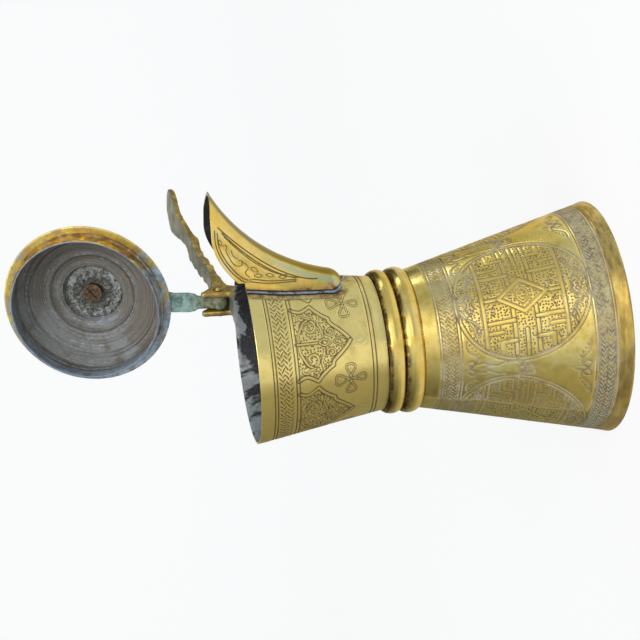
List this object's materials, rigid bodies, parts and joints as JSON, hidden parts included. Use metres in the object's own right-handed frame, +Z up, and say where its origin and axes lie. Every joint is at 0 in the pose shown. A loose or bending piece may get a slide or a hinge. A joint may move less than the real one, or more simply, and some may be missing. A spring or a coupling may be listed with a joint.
{
  "type": "dallah coffee pot",
  "caption": "Engraved brass coffee pot with a flared neck, open beak spout, cast side handle and a domed lid hinged between the handle's lugs.",
  "frame": {"origin": "centre of the foot on the resting plane", "axes": "+Z up the pot's axis; the hinge and handle root lie at +Y with the hinge axis along X; the spout points near +X"},
  "size_m": [0.1601, 0.2807, 0.3308],
  "materials": {
    "brass": "worn polished brass with dark engraved lines",
    "aged_brass": "aged cast brass, browned in the hollows",
    "tinned_brass": "tinned brass gone grey and matt",
    "solder": "dull blue-grey solder",
    "verdigris_brass": "brass under green-blue verdigris"
  },
  "bodies": {
    "pot": {"lower_body": "brass", "base_plate": "aged_brass", "lower_waist_ring": "brass", "upper_waist_ring": "brass", "neck": "brass", "spout": "brass", "spout_solder": "solder", "handle": "aged_brass", "handle_rivets": "brass", "hinge_pin": "aged_brass"},
    "lid": {"lid_dome": "brass", "lid_sleeve": "tinned_brass", "lid_strap": "verdigris_brass", "strap_rivets": "aged_brass", "lid_backing_disc": "tinned_brass", "finial": "brass", "finial_screw": "aged_brass"}
  },
  "joints": [
    {"name": "lid_hinge", "type": "hinge", "parent": "pot", "child": "lid", "pos_m": [0, 0.079, 0.2047], "axis": [1, 0, 0], "range_deg": [0, 105]}
  ]
}
